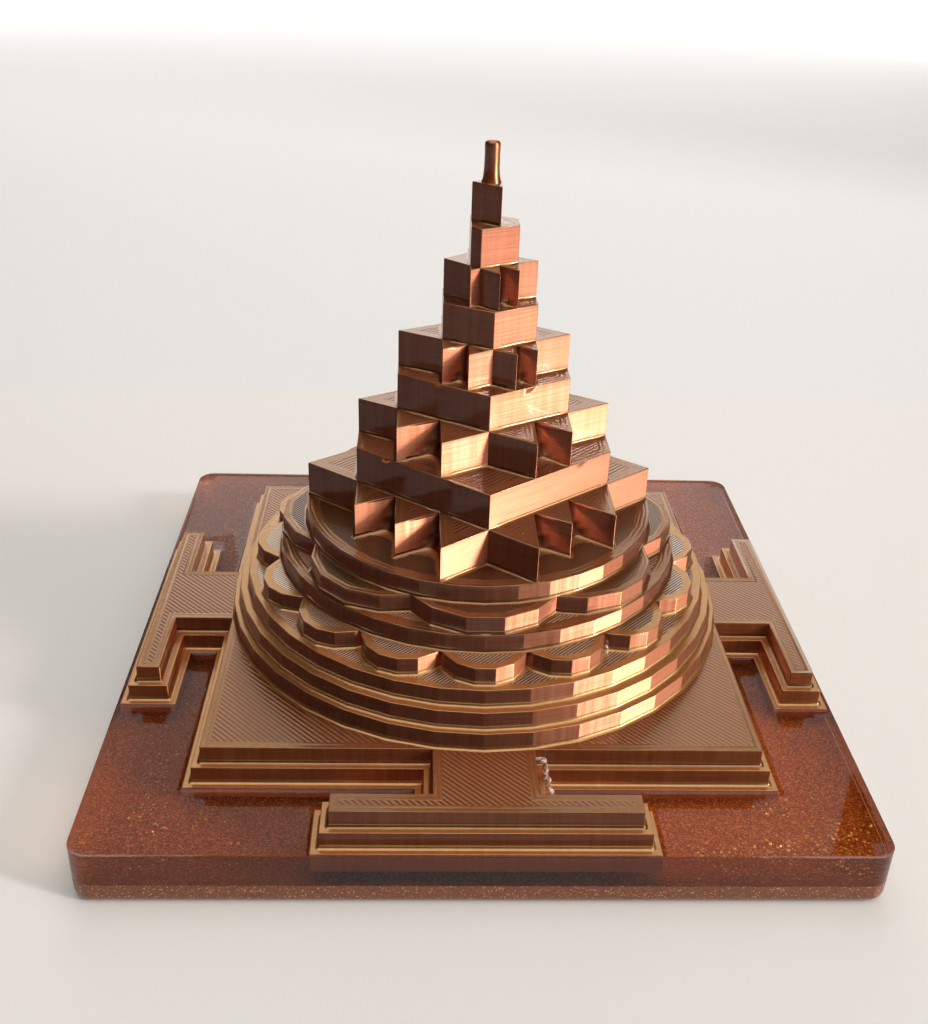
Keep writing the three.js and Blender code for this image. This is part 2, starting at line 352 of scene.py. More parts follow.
# the next tones have near-white crests: a painted highlight, the glints on the lines, with painted shade
# in the grooves
PAINTED_GLINT_TONES = ((0.16, 0.06, 0.025), (0.95, 0.82, 0.60))
hatch_tops = {
    ("broad", -45): silk_print("hatch_broad_left", *PLAIN, 0.9, 0.33, hatch=-45, slope=0.15),
    ("broad", 45): silk_print("hatch_broad_right", *PLAIN, 0.9, 0.33, hatch=45, slope=0.2),
    ("fine", -45): silk_print("hatch_fine_shaded_left", *SHADED_TONES, 0.9, 0.33, hatch=-45, pitch=FINE_PITCH),
    ("fine", 45): silk_print("hatch_fine_shaded_right", *SHADED_TONES, 0.9, 0.33, hatch=45, pitch=FINE_PITCH),
    ("pale", 45): silk_print("hatch_painted_glints", *PAINTED_GLINT_TONES, 0.9, 0.30, hatch=45, pitch=FINE_PITCH, slope=0.45)}
print("materials:", walls.name, loops_top.name, "and", len(hatch_tops), "hatched tops")

# %% [markdown]
# ## A tier's outline
# The CAD solid of a tier is loose triangles. A copy is merged, everything below its top is
# deleted, and the triangles of the top are dissolved into one face: the tier's outline, ready
# to be inset, cut and extruded.

# %% Outline of a tier
WELD = 0.002         # points closer than this are one point, mm
NEAR = 0.02          # a point this close to a top or a wall belongs to it, mm


def top_face(node):
    """A new bmesh that holds the top of a CAD node as one face."""
    shape = bmesh.new()
    shape.from_mesh(frame["nodes"][node].data)
    bmesh.ops.remove_doubles(shape, verts=shape.verts, dist=WELD * MM)
    top = max(v.co.z for v in shape.verts)
    low = [v for v in shape.verts if v.co.z < top - NEAR * MM]
    bmesh.ops.delete(shape, geom=low, context="VERTS")
    bmesh.ops.dissolve_faces(shape, faces=shape.faces[:], use_verts=False)
    for f in shape.faces:
        if f.normal.z < 0:
            f.normal_flip()
    shape.faces.ensure_lookup_table()
    return shape


def outline_of(shape):
    """The outline of the top face as points of the plan, in order."""
    return [loop.vert.co.xy.copy() for loop in shape.faces[0].loops]


print("a tier's outline is its CAD top as one face")

# %% [markdown]
# ## Beads of filament on a top
# A printed top starts with a few loops of filament along its edge, then straight lines at 45
# degrees fill the middle. Each loop is three insets: up out of the groove, across and down again.
# The lines are made by cutting the middle face with many planes, four to a line, and lifting the
# cuts in a wave.

# %% Loops and hatch
BEAD = 0.45          # width of one loop, mm
GROOVE = 0.06        # half the width of the groove between two loops, mm
LOOP_RELIEF = 0.014  # depth of that groove, mm
LEDGE_RELIEF = 0.004  # the same on the narrow ledges, where the epoxy has nearly filled it, mm
HATCH_RELIEF = 0.009  # height of a hatch line above the middle of its slope, mm
TOUCH = 1e-7         # heights and cuts closer than this are the same, m
WALL, HATCH, LOOP = 0, 1, 2  # material slots of a tier


def add_loops(shape, count, relief):
    """Loops of filament round the top face; returns the face left in the middle."""
    middle = shape.faces[0]
    middle.material_index = LOOP
    for _ in range(count):
        for width, rise in ((GROOVE, relief), (BEAD - 2 * GROOVE, 0), (GROOVE, -relief)):
            bmesh.ops.inset_region(shape, faces=[middle], thickness=width * MM, depth=rise * MM,
                                   use_even_offset=True, use_boundary=True)
    return middle


def add_hatch(shape, middle, angle, pitch, relief):
    """Ridges across the middle face, all running at an angle to the X axis."""
    turn = math.radians(angle)
    across = Vector((-math.sin(turn), math.cos(turn), 0))
    quarter = pitch / 4 * MM
    reach = [v.co.dot(across) for v in middle.verts]
    uncut, finished = {middle}, set()
    for step in range(math.ceil(min(reach) / quarter), math.floor(max(reach) / quarter) + 1):
        place = step * quarter
        passed = {f for f in uncut if max(v.co.dot(across) for v in f.verts) < place + TOUCH}
        uncut -= passed
        finished |= passed
        geometry = list({item for f in uncut for item in (*f.verts, *f.edges, f)})
        if geometry:
            cut = bmesh.ops.bisect_plane(shape, geom=geometry, dist=TOUCH, plane_no=across,
                                         plane_co=across * place)
            uncut |= {item for item in cut["geom"] if isinstance(item, bmesh.types.BMFace)}
    for f in uncut | finished:
        f.material_index = HATCH
    for v in {v for f in uncut | finished for v in f.verts}:
        v.co.z += relief * MM * math.sin(v.co.dot(across) / (pitch * MM) * 2 * math.pi)


print("a loop is", BEAD, "mm wide, hatch lines are", BROAD_PITCH, "or", FINE_PITCH, "mm apart")

# %% [markdown]
# ## Walls of a tier
# The wall is the outline pulled down to the tier below. Its top edge and its outer corners are
# rounded a little by the epoxy, which is a bevel. Rows and columns of points are then cut into
# the wall, so that the next steps have something to bend.

# %% Walls and rim
RIM = 0.17           # radius of the coated top edge, mm
SPACING = 1.0        # distance between the columns of a wall, mm
LEVEL, UPRIGHT = 0.9, 0.1  # a top's normal has more Z than the first, a wall's less than the second
WIDEST_NOTCH = math.radians(100)  # a wider corner of an outline holds no film
SHARP_CORNER = math.radians(20)   # an upright edge that bends more than this is rounded


def notches(shape):
    """Concave corners of the outline: place, the two directions away from it, and their reach."""
    corners = []
    outline = [loop.vert.co.copy() for loop in shape.faces[0].loops]
    for i, here in enumerate(outline):
        to_last = outline[i - 1] - here
        to_next = outline[(i + 1) % len(outline)] - here
        if to_next.cross(to_last).z < -1e-9:
            angle = to_last.angle(to_next)
            if angle < WIDEST_NOTCH:
                reach = min(to_last.length, to_next.length)
                corners.append((here, to_last.normalized(), to_next.normalized(), angle / 2, reach))
    return corners


def pull_walls(shape, foot):
    """Extrudes the outline down to the foot and closes the bottom."""
    outline = [e for e in shape.edges if e.is_boundary]
    made = bmesh.ops.extrude_edge_only(shape, edges=outline)["geom"]
    low = [g for g in made if isinstance(g, bmesh.types.BMVert)]
    for v in low:
        v.co.z = foot
    bottom = [e for e in made if isinstance(e, bmesh.types.BMEdge) and e.is_boundary]
    bmesh.ops.holes_fill(shape, edges=bottom, sides=0)
    bmesh.ops.recalc_face_normals(shape, faces=shape.faces[:])
    for f in shape.faces:
        if f.normal.z < UPRIGHT:
            f.material_index = WALL
    return outline


def round_edges(shape, edges, width, segments):
    """A round bevel, its width in millimetres."""
    bmesh.ops.bevel(shape, geom=edges, offset=width * MM, offset_type="OFFSET", segments=segments,
                    profile=0.5, affect="EDGES", clamp_overlap=True, material=-1)


def round_rim(shape, outline):
    """Bevels the top edge and the sharp upright corners."""
    upright = [e for e in shape.edges if abs(e.verts[0].co.z - e.verts[1].co.z) > MM
               and len(e.link_faces) == 2 and e.is_convex and e.calc_face_angle() > SHARP_CORNER]
    round_edges(shape, [e for e in outline if e.is_valid] + upright, RIM, 3)


def add_rows(shape, heights):
    """Cuts the walls across at each height."""
    for z in heights:
        walls_only = [f for f in shape.faces if abs(f.normal.z) < UPRIGHT]
        geometry = list({item for f in walls_only for item in (*f.verts, *f.edges, f)})
        bmesh.ops.bisect_plane(shape, geom=geometry, dist=TOUCH, plane_no=(0, 0, 1), plane_co=(0, 0, z))


def add_columns(shape, rim_z):
    """Splits every wall into columns about as wide as SPACING."""
    walls_only = [f for f in shape.faces
                  if abs(f.normal.z) < UPRIGHT and f.calc_center_median().z < rim_z]
    level = {}
    for f in walls_only:
        for e in f.edges:
            flat_run = abs(e.verts[0].co.z - e.verts[1].co.z) < TOUCH
            if flat_run and e.calc_length() > 1.5 * SPACING * MM:
                level.setdefault(round(e.calc_length() / (SPACING * MM)), set()).add(e)
    for cuts, edges in level.items():
        valid = [e for e in edges if e.is_valid]
        bmesh.ops.subdivide_edges(shape, edges=valid, cuts=max(1, cuts - 1), use_grid_fill=True)


print("rims are", RIM, "mm round, columns of a wall about", SPACING, "mm wide")

# %% [markdown]
# ## Places inside an outline
# Films and fillets spread over the tier below and mustn't reach past its edge. Two measures say
# where a point of the plan lies: its distance to an outline, and whether it is inside.

# %% Distances in the plan
def sides_of(loop):
    """The sides of a closed outline, each as its two ends."""
    return zip(loop, loop[1:] + loop[:1])


def distance_to_side(a, b, point):
    run = b - a
    share = max(0.0, min(1.0, (point - a).dot(run) / run.length_squared))
    return (point - a - run * share).length


def distance_to(loop, point):
    """Distance from a point to a closed outline."""
    return min(distance_to_side(a, b, point) for a, b in sides_of(loop))


def inside(loop, point, margin):
    """Whether a point lies inside a closed outline and at least a margin away from it."""
    odd = False
    for a, b in sides_of(loop):
        if (a.y > point.y) != (b.y > point.y):
            if point.x < a.x + (point.y - a.y) / (b.y - a.y) * (b.x - a.x):
                odd = not odd
        if distance_to_side(a, b, point) < margin:
            return False
    return odd


print("helpers: sides_of, distance_to_side, distance_to, inside")

# %% [markdown]
# ## Films in the notches
# In the notches of the stars the epoxy hangs as a curved film: wide at the floor, closing towards
# the top, and bowed inwards like soap between two fingers. The wall points near the corner are
# moved onto it. A mesh attribute called film remembers them, so that the material can darken them,
# partly for the depth of the epoxy and partly as a painted shade in the notches.

# %% Films
FILM_AT_TOP = 0.05   # share of a notch's wall that the film grips at the top
FILM_SPREAD = 0.85   # how much more of it the film grips at the floor
FILM_MARGIN = 0.25   # how far a film stays from the edge of the tier below, mm


def film_place(corner, away, middle, half, grip):
    """Where a wall point goes on the film that grips both walls at a distance from the corner."""
    sideways = away - middle * away.dot(middle)
    radius = grip * math.tan(half)
    bow = grip / math.cos(half) - math.sqrt(max(0.0, radius ** 2 - sideways.length ** 2))
    return (corner + middle * bow + sideways).xy


def hang_films(shape, corners, foot, height, below):
    """Moves wall points in each notch onto the film, no further than the tier below reaches."""
    film = shape.verts.layers.float.new("film")
    for corner, one, two, half, reach in corners:
        middle = (one + two).normalized()
        for v in shape.verts:
            if v.co.z < foot - TOUCH or (v.normal.z > LEVEL and v.co.z > foot + height * 0.9):
                continue
            away = v.co - corner
            away.z = 0
            if away.length > reach:
                continue
            up = min(1.0, max(0.0, (v.co.z - foot) / height))
            grip = reach * (FILM_AT_TOP + FILM_SPREAD * (1 - math.sqrt(1 - (1 - up) ** 2)))
            for wall in (one, two):
                along = away.dot(wall)
                off = (away - wall * along).length
                if off < NEAR * MM and along < grip:
                    start = v.co.xy.copy()
                    spot = film_place(corner, away, middle, half, grip)
                    share = 1.0
                    while share > 0.05 and not inside(below, start.lerp(spot, share), FILM_MARGIN * MM):
                        share -= 0.1
                    v.co.x, v.co.y = start.lerp(spot, max(0.0, share))
                    v[film] = 1.0
                    break


print("a film grips", FILM_AT_TOP, "of a notch at the top and", FILM_AT_TOP + FILM_SPREAD, "at the floor")

# %% [markdown]
# ## Fillets along the feet
# Epoxy stands as a small hollow fillet along the foot of each wall. The lowest rows of points are
# moved outwards on a quarter circle. The fillet looks up, so it shines like the top of its tier.

# %% Foot fillets
FILLET = 0.36        # radius of the epoxy along a foot, mm
FILLET_MARGIN = 0.1  # how far a fillet stays from the edge of the tier below, mm
MOST_SPREAD = 1.6    # how much further a fillet may reach at a corner than along a wall


def flare_foot(shape, foot, fillet, below):
    """The hollow epoxy fillet along the foot of the walls, kept on the tier below."""
    shape.normal_update()
    moves = []
    for v in shape.verts:
        above = v.co.z - foot
        if above > fillet - TOUCH or above < -TOUCH:
            continue
        sides = [f.normal for f in v.link_faces if abs(f.normal.z) < 0.7]
        if not sides:
            continue
        normal = sum(sides, Vector()).normalized()
        normal.z = 0
        normal.normalize()
        spread = min(MOST_SPREAD, 1 / max(0.4, min(normal.dot(s.normalized()) for s in sides)))
        out = fillet - math.sqrt(max(0.0, fillet ** 2 - (fillet - above) ** 2))
        share = 1.0
        margin = FILLET_MARGIN * MM
        while share > 0 and not inside(below, (v.co + normal * out * spread * share).xy, margin):
            share -= 0.1
        moves.append((v, normal * out * spread * max(0.0, share)))
    for v, move in moves:
        v.co += move
    shape.normal_update()
    for f in shape.faces:
        if f.normal.z > 0.2 and all(abs(v.co.z - foot) < fillet + TOUCH for v in f.verts):
            f.material_index = LOOP


print("fillets are", FILLET, "mm round")

# %% [markdown]
# ## A whole tier
# The print is smooth between its edges. An edge stays sharp where a top meets another finish, at
# bends of a level edge past 40 degrees, and at upright bends past 5 degrees, because the rings are
# printed with flat facets that catch the light one by one.

# %% Whole tiers
SINK = 0.06          # how far a foot reaches into the grooves below it, mm
FACET_BEND, EDGE_BEND = math.radians(5), math.radians(40)
FILLET_ROWS = (0.0, 0.12, 0.3, 0.55, 1.0)          # rows of points, as shares of the fillet
PLAIN_ROWS = (0.5, 0.8)                            # and as shares of the wall's height
FILM_ROWS = (0.22, 0.36, 0.5, 0.64, 0.8, 0.92)     # the same where films hang


def finish_tier(shape, name, hatch=("broad", 45), top=loops_top, side=walls):
    """Smooth shading with sharp edges, and the finished object of a tier."""
    shape.normal_update()
    smooth(shape)
    for e in shape.edges:
        if len(e.link_faces) == 2:
            upright = abs(e.verts[0].co.z - e.verts[1].co.z) > 0.9 * e.calc_length()
            bend = e.calc_face_angle(0)
            one_level = max(f.normal.z for f in e.link_faces) > LEVEL
            same_finish = e.link_faces[0].material_index == e.link_faces[1].material_index
            e.smooth = (same_finish or not one_level) and bend < (FACET_BEND if upright else EDGE_BEND)
    bmesh.ops.triangulate(shape, faces=[f for f in shape.faces if len(f.verts) > 4])
    return show(shape, name, side, hatch_tops[hatch], top)


outlines = []        # the outline of each tier made so far, so that the next one knows its floor


def print_tier(node, loops, hatch, films=False, tone="broad", top=loops_top, side=walls):
    """One printed tier: outline, loops, hatch, walls, rim, films and foot."""
    low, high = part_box(node)
    shape = top_face(node)
    cast_in = not outlines
    outlines.append(outline_of(shape))
    corners = notches(shape) if films else []
    middle = add_loops(shape, loops, LEDGE_RELIEF if top is sheen_ledges else LOOP_RELIEF)
    if hatch is not None:
        pitch = BROAD_PITCH if tone == "broad" else FINE_PITCH
        add_hatch(shape, middle, hatch, pitch, HATCH_RELIEF)
    foot = low.z - (0 if cast_in else SINK * MM)
    outline = pull_walls(shape, foot)
    round_rim(shape, outline)
    fillet = FILLET * MM
    rows = [low.z + fillet * part for part in FILLET_ROWS]
    body = high.z - low.z
    rows += [low.z + body * part for part in (FILM_ROWS if films else PLAIN_ROWS)]
    add_rows(shape, rows)
    add_columns(shape, high.z - RIM * 0.5 * MM)
    if films:
        hang_films(shape, corners, low.z, body, outlines[-2])
    if not cast_in:
        flare_foot(shape, low.z, fillet, outlines[-2])
    # a tier without hatch lines still takes a hatched material, so that its other slots keep their place
    piece = finish_tier(shape, "tier_" + node, (tone, hatch or 45), top, side)
    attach(piece, BODY)
    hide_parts(node)
    print(piece.name, len(piece.data.polygons), "faces")
    return piece


print("feet reach", SINK, "mm into the tier below")

# %% [markdown]
# ## The tiers, from the bottom up
# The order matters, because each tier needs the outline of the one below it. The two lower steps
# of the square and the rings show only a narrow ledge each, which is finer, and painted more golden
# as a painted sheen.

# %% Bhupura, rings and lotus plates
for number in (1, 2, 3):
    print_tier(f"bhupura_step_{number}", 2 if number == 3 else 3, -45,
               top=loops_top if number == 3 else sheen_ledges, side=square_walls)
# the fine hatch is painted darker, a painted shade for tops under the tier above; the pale hatch has
# painted highlights on its crests
for number, tone in ((1, "fine"), (2, "fine"), (3, "pale")):
    print_tier(f"trivritta_ring_{number}", 2, 45, tone=tone, top=sheen_ledges)
print_tier("lotus_16_petals", 2, 45, tone="pale", top=sheen_ledges)
print_tier("disc_under_8_petals", 3, 45, tone="pale")
# these two tops take the darker fine hatch too, a painted shade under the tier above
print_tier("lotus_8_petals", 2, -45, tone="fine")
print_tier("disc_under_star", 3, -45, tone="fine")

# %% [markdown]
# The stars hold the yantra's triangles, and films hang in their notches. The tops of the highest
# tiers are too small for hatch lines and have loops alone.

# %% Stars and platforms
print_tier("star_14_points", 3, 45, films=True)
print_tier("platform_1", 3, 45)
print_tier("star_10_points_outer", 3, 45, films=True)
print_tier("platform_2", 3, 45)
print_tier("star_10_points_inner", 2, 45, films=True)
print_tier("platform_3", 3, 45)
print_tier("star_8_points", 1, None, films=True)
print_tier("platform_4", 2, None)
print_tier("central_triangle", 1, None)

# %% [markdown]
# ## Bindu
# The point on top is a thin pin with a softly domed end. Epoxy ran down it and stands round its
# foot. It is a profile turned about the pin's axis, which is a full spin.

# %% Bindu
PIN_SINK = 0.05      # how far the pin's foot reaches into the triangle below it, mm
PROFILE = [          # distance from the axis in radii of the pin, and height in mm
    (1.35, 0.0), (1.3, 0.1), (1.16, 0.3), (1.06, 0.7), (1.0, 1.3), (0.98, 2.0), (0.97, 2.8),
    (1.0, 3.5), (0.97, 3.75), (0.8, 3.92), (0.45, 3.985), (0.0, 4.0)]

low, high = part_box("bindu")
centre = (low + high) / 2
pin_radius = (high.x - low.x) / 2
shape = bmesh.new()
points = []
for radius, height in PROFILE:
    z = min(low.z - PIN_SINK * MM + height * MM, high.z)
    points.append(shape.verts.new((centre.x + radius * pin_radius, centre.y, z)))
edges = [shape.edges.new(pair) for pair in zip(points, points[1:])]
bmesh.ops.spin(shape, geom=points + edges, cent=(centre.x, centre.y, 0), axis=(0, 0, 1),
               angle=2 * math.pi, steps=40, use_merge=True)
bmesh.ops.remove_doubles(shape, verts=shape.verts, dist=WELD * MM)
bmesh.ops.holes_fill(shape, edges=[e for e in shape.edges if e.is_boundary], sides=0)
bmesh.ops.recalc_face_normals(shape, faces=shape.faces[:])
bindu = finish_tier(shape, "tier_bindu", side=pin_walls)
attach(bindu, BODY)
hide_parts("bindu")
print(bindu.name, len(bindu.data.polygons), "faces")

# %% [markdown]
# ## Glitter, a shared node group
# The lower pour is full of copper glitter: flakes much smaller than a millimetre, each of a shade of
# its own. Voronoi cells are the flakes. The group puts out a mask of the few bright ones and a
# random value per flake.

# %% Node group: glitter
glitter, given = open_group("copper_glitter", {"Flake Scale": 4500, "Bright Share": 0.2},
                            {"Sparkle": FLOAT, "Flake": FLOAT})
cells = add_node(glitter, "ShaderNodeTexVoronoi", {
    "Vector": object_place(glitter), "Scale": given["Flake Scale"]})
chances = add_node(glitter, "ShaderNodeSeparateColor", {"Color": cells.outputs["Color"]}).outputs
add_node(glitter, "NodeGroupOutput", {
    "Sparkle": maths(glitter, "LESS_THAN", chances["Green"], given["Bright Share"]),
    "Flake": chances["Red"]})
print("group made:", glitter.name)

# %% [markdown]
# The top of the lower pour lies under clear resin of the same kind, so it has no shine of its own
# there. Its sides meet the air, so they get a clear coat, and their flakes are painted darker than
# the top's, a painted shade on the sides.

# %% Material: glitter pour
SPARK = (0.80, 0.36, 0.14, 1)


def glitter_material(name, coat, specular, deep, middling, light):
    """Flakes in shades from deep to light, and a few sparks."""
    material, tree = new_material(name)
    group = add_node(tree, "ShaderNodeGroup", {"Flake Scale": 8500, "Bright Share": 0.05},
                     node_tree=glitter)
    shades = colour_ramp(tree, group.outputs["Flake"], [(0.0, deep), (0.6, middling), (1.0, light)])
    principled(tree, {
        "Base Color": blend_colours(tree, group.outputs["Sparkle"], shades, SPARK),
        "Roughness": 0.45, "Metallic": 0.3, "Coat Weight": coat, "Coat Roughness": 0.03,
        "Specular IOR Level": specular})
    return material


# the sides' flakes are darker than the top's: painted shade
glitter_shaded_sides = glitter_material(
    "glitter_shaded_sides", 1.0, 0.5, (0.18, 0.04, 0.010), (0.27, 0.07, 0.018), (0.40, 0.13, 0.04))
glitter_under = glitter_material(
    "glitter_under_resin", 0.0, 0.0, (0.28, 0.050, 0.007), (0.52, 0.125, 0.022), (0.84, 0.30, 0.075))
print("materials:", glitter_shaded_sides.name, glitter_under.name)

# %% [markdown]
# ## Clear pour
# The upper pour is clear, tinted resin over the glitter. It is real glass with an IOR of 1.5. A
# Light Path switch lets the lamps through to the glitter below, because a path tracer would
# otherwise leave it in shadow. Seen through its upright sides the resin is deeper, so they are
# tinted more strongly than its top.

# %% Material: clear pour
def clear_glass(name, tint, shadow_tint):
    """Tinted glass that lets the lamps' light through in another tint."""
    material, tree = new_material(name)
    glass = add_node(tree, "ShaderNodeBsdfPrincipled", {
        "Base Color": (*tint, 1), "Roughness": 0.02, "IOR": 1.5, "Transmission Weight": 1.0})
    lamp_light = add_node(tree, "ShaderNodeBsdfTransparent", {"Color": (*shadow_tint, 1)})
    path = add_node(tree, "ShaderNodeLightPath")
    blend = add_node(tree, "ShaderNodeMixShader", {
        0: path.outputs["Is Shadow Ray"], 1: glass.outputs["BSDF"], 2: lamp_light.outputs["BSDF"]})
    add_node(tree, "ShaderNodeOutputMaterial", {"Surface": blend.outputs["Shader"]})
    return material


clear_resin = clear_glass("clear_resin", (0.95, 0.72, 0.46), (0.85, 0.62, 0.46))
clear_side = clear_glass("clear_resin_side", (0.34, 0.21, 0.14), (0.20, 0.16, 0.13))
print("materials:", clear_resin.name, clear_side.name)

# %% [markdown]
# ## The slab
# The lower pour is the CAD node's own outline pulled up in rounded steps. The upper pour keeps
# the pocket for the tower's foot, and its surface climbs a little at the mould's wall and at the
# foot, as liquid does.

# %% Lower pour
MOULD_ROUND = 0.95   # how round the mould makes the bottom edge, mm
SEAM_ROUND = 0.08    # how round the edge between the two pours is, mm

low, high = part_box("resin_glitter_pour")
shape = top_face("resin_glitter_pour")
bmesh.ops.dissolve_limit(shape, angle_limit=math.radians(1), verts=shape.verts[:], edges=shape.edges[:])
pull_walls(shape, low.z)
low_edges = [e for e in shape.edges if all(v.co.z < low.z + 1e-6 for v in e.verts)]
round_edges(shape, low_edges, MOULD_ROUND, 6)
top_edges = [e for e in shape.edges if all(v.co.z > high.z - 1e-6 for v in e.verts)]
round_edges(shape, top_edges, SEAM_ROUND, 2)
smooth(shape)
glitter_pour = show(shape, "glitter_pour", glitter_shaded_sides, glitter_under)
glitter_pour.data.set_sharp_from_angle(angle=math.radians(40))
for face in glitter_pour.data.polygons:
    face.material_index = int(face.normal.z > LEVEL)
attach(glitter_pour, BODY)
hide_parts("resin_glitter_pour")
print("glitter_pour", len(glitter_pour.data.polygons), "faces")

# %% [markdown]
# The upper pour starts as one flat surface between the mould's wall and the tower's foot, which is
# filled with triangles. It is then cut finely near both walls, where it will climb, and coarsely
# in between.

# %% Upper pour: the surface
POCKET_LAP = 0.05    # how far the resin reaches into the opaque foot, so that no gap shows, mm

low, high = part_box("resin_clear_pour")
foot_low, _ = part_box("bhupura_step_1")
surface = top_face("resin_glitter_pour")
outer_loop = outline_of(surface)
foot_shape = top_face("bhupura_step_1")
inner_loop = outline_of(foot_shape)
inner = bmesh.ops.inset_region(foot_shape, faces=foot_shape.faces[:], thickness=POCKET_LAP * MM,
                               depth=0, use_even_offset=True, use_boundary=True)
bmesh.ops.delete(foot_shape, geom=inner["faces"], context="FACES")
pocket_mesh = bpy.data.meshes.new("pocket_outline")
foot_shape.to_mesh(pocket_mesh)
foot_shape.free()
surface.from_mesh(pocket_mesh)
bpy.data.meshes.remove(pocket_mesh)
bmesh.ops.delete(surface, geom=surface.faces[:], context="FACES_ONLY")
for v in surface.verts:
    v.co.z = high.z
bmesh.ops.triangle_fill(surface, edges=surface.edges[:], use_beauty=True, use_dissolve=False)
print("resin surface:", len(surface.faces), "triangles before it is cut")

# %% Upper pour: cuts along the walls
CLIMB_REACH = 0.55   # how far from a wall the resin starts to climb, mm
CUTS = (0.05, 0.12, 0.22, 0.36, CLIMB_REACH)  # distances of the cuts from a wall, mm
GRID, GRID_LINES = 2.05, 18  # distance between the coarse cuts in mm, and how many lie on each side

places = set()
for loop in (outer_loop, inner_loop):
    for a, b in sides_of(loop):
        for axis in (0, 1):
            if abs(a[axis] - b[axis]) < 1e-6:
                for reach in (*CUTS, *(-cut for cut in CUTS)):
                    places.add((axis, round(a[axis] / MM + reach, 3)))
for step in range(-GRID_LINES, GRID_LINES + 1):
    places.update({(0, step * GRID), (1, step * GRID)})
for axis, place in sorted(places):
    normal = Vector((1, 0, 0)) if axis == 0 else Vector((0, 1, 0))
    everything = surface.verts[:] + surface.edges[:] + surface.faces[:]
    bmesh.ops.bisect_plane(surface, geom=everything, dist=TOUCH, plane_no=normal,
                           plane_co=normal * place * MM)
print("resin surface:", len(surface.faces), "faces after", len(places), "cuts")

# %% Upper pour: the climbing edge
CLIMB = 0.16         # how high the resin climbs at a wall, mm
RIPPLE = 0.012       # height of the slight ripples between the walls, mm
RIPPLES = 90         # how closely they follow each other, per metre

rim_edges = [e for e in surface.edges if e.is_boundary]
for v in surface.verts:
    near = min(distance_to(outer_loop, v.co.xy), distance_to(inner_loop, v.co.xy)) / MM
    climb = max(0.0, 1 - near / CLIMB_REACH) ** 2
    ripple = noise.noise(v.co * RIPPLES) * RIPPLE
    v.co.z = high.z + (CLIMB * climb + ripple * min(1.0, near / CLIMB_REACH)) * MM
outer_rim = [e for e in rim_edges if all(distance_to(outer_loop, v.co.xy) < 0.01 * MM for v in e.verts)]
inner_rim = [e for e in rim_edges if e not in set(outer_rim)]
print("edges at the mould:", len(outer_rim), "and at the foot:", len(inner_rim))

# %% Upper pour: the body and the pocket
POUR_LAP = 0.04      # how far the upper pour reaches into the lower, mm
POCKET_LIFT = 0.05   # how far the pocket's floor lies above the bottom of the foot, mm

for rim, depth in ((outer_rim, low.z - POUR_LAP * MM), (inner_rim, foot_low.z + POCKET_LIFT * MM)):
    made = bmesh.ops.extrude_edge_only(surface, edges=rim)["geom"]
    for v in made:
        if isinstance(v, bmesh.types.BMVert):
            v.co.z = depth
    bottom = [e for e in made if isinstance(e, bmesh.types.BMEdge)
              and all(abs(v.co.z - depth) < 1e-8 for v in e.verts)]
    bmesh.ops.holes_fill(surface, edges=bottom, sides=0)
bmesh.ops.recalc_face_normals(surface, faces=surface.faces[:])
print("open edges in the clear pour:", len([e for e in surface.edges if not e.is_manifold]))
bmesh.ops.triangulate(surface, faces=[f for f in surface.faces if len(f.verts) > 4])
smooth(surface)
clear_pour = show(surface, "clear_pour", clear_resin, clear_side)
clear_pour.data.set_sharp_from_angle(angle=math.radians(50))
for face in clear_pour.data.polygons:
    face.material_index = int(abs(face.normal.z) < 0.5)
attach(clear_pour, BODY)
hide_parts("resin_clear_pour")
print("clear_pour", len(clear_pour.data.polygons), "faces")

# %% [markdown]
# ## Gold flecks
# A pinch of coarser gold glitter was strewn into the clear pour, in a few drifts. Each fleck is a
# thin hexagon. Their places are random but seeded, so that every run strews them alike.

# %% Gold flecks
FLECK, FLECK_DEPTH = 0.12, 0.012  # radius and thickness of a middling fleck, mm
FLECK_TILT = 0.35    # how far a fleck may lie out of level, radians
MOULD_MARGIN, FOOT_MARGIN = 0.3, 0.2  # how far flecks stay from the mould and from the foot, mm
DRIFTS = [           # middle of each drift, its spread along X and Y in mm, and its flecks
    ((28, -35), (3.2, 0.9), 150), ((23, -36.3), (3.0, 0.5), 90), ((34, -33.7), (1.6, 1.2), 90),
    ((28.5, -29.7), (1.6, 0.7), 50), ((-27, -17.3), (1.2, 1.8), 70), ((-27, -20.6), (1.2, 1.8), 70),
    ((-31.4, -23), (0.9, 4.5), 90), ((-29.5, -32.1), (4.0, 1.6), 60), ((-30.5, 20.5), (1.4, 3.4), 260),
    ((31, 20), (1.5, 4.0), 60)]

gold = speckled("gold_fleck", 1500, [(0.35, (0.95, 0.38, 0.09)), (0.65, (1.0, 0.70, 0.28))],
                {"Metallic": 0.4, "Roughness": 0.3})
random.seed(5)
flecks = bmesh.new()
depth_low, depth_high = low.z + 0.1 * MM, high.z - 0.25 * MM
for middle, spread, count in DRIFTS:
    for _ in range(count):
        x, y = (random.gauss(m, w) * MM for m, w in zip(middle, spread))
        z = depth_low + (depth_high - depth_low) * random.random() ** 1.6
        size = FLECK * random.uniform(0.6, 1.3) * MM
        tilts = random.gauss(0, FLECK_TILT), random.gauss(0, FLECK_TILT)
        turn = Euler((*tilts, random.uniform(0, math.pi))).to_matrix().to_4x4()
        place = Vector((x, y))
        if not inside(outer_loop, place, MOULD_MARGIN * MM) or inside(inner_loop, place, 0):
            continue
        if distance_to(inner_loop, place) < FOOT_MARGIN * MM:
            continue
        bmesh.ops.create_cone(flecks, cap_ends=True, segments=6, radius1=size, radius2=size,
                              depth=FLECK_DEPTH * MM, matrix=Matrix.Translation((x, y, z)) @ turn)
print("gold flecks:", len(flecks.faces) // 8)
gold_flecks = show(flecks, "gold_flecks", gold)
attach(gold_flecks, BODY)

